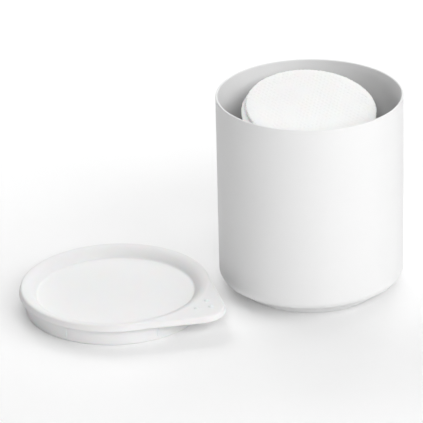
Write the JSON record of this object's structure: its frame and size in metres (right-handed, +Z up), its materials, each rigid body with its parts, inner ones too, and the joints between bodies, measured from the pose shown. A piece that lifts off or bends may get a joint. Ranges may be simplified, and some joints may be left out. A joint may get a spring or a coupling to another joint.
{
  "type": "cotton pad dispenser",
  "caption": "Round white steel cup on an inset plastic foot, filled with cotton pads, with its plug-in lid and pull tab lying beside it.",
  "frame": {"origin": "centre of the foot's flat underside, on the surface that the cup and the lid stand on", "axes": "+Z up along the cup's axis, -Y towards the viewer, +X to the viewer's right; the lid lies towards -X"},
  "size_m": [0.1747, 0.1049, 0.093],
  "materials": {
    "coated_steel": "matte powder coat",
    "foot_plastic": "matte",
    "lid_plastic": "satin",
    "cotton": "soft pressed cotton wool"
  },
  "bodies": {
    "root": {"cup": "coated_steel", "foot": "foot_plastic", "lid": "lid_plastic", "pad_01": "cotton", "pad_02": "cotton", "pad_03": "cotton", "pad_04": "cotton", "pad_05": "cotton", "pad_06": "cotton", "pad_07": "cotton", "pad_08": "cotton", "pad_09": "cotton", "pad_10": "cotton", "pad_11": "cotton", "pad_12": "cotton", "pad_13": "cotton", "pad_14": "cotton", "pad_15": "cotton", "pad_16": "cotton", "pad_17": "cotton", "pad_18": "cotton", "pad_19": "cotton", "pad_20": "cotton", "pad_21": "cotton", "pad_22": "cotton", "pad_23": "cotton", "pad_24": "cotton", "pad_25": "cotton", "pad_26": "cotton", "pad_27": "cotton", "pad_28": "cotton", "pad_29": "cotton", "pad_30": "cotton", "pad_31": "cotton", "pad_32": "cotton"}
  },
  "joints": []
}
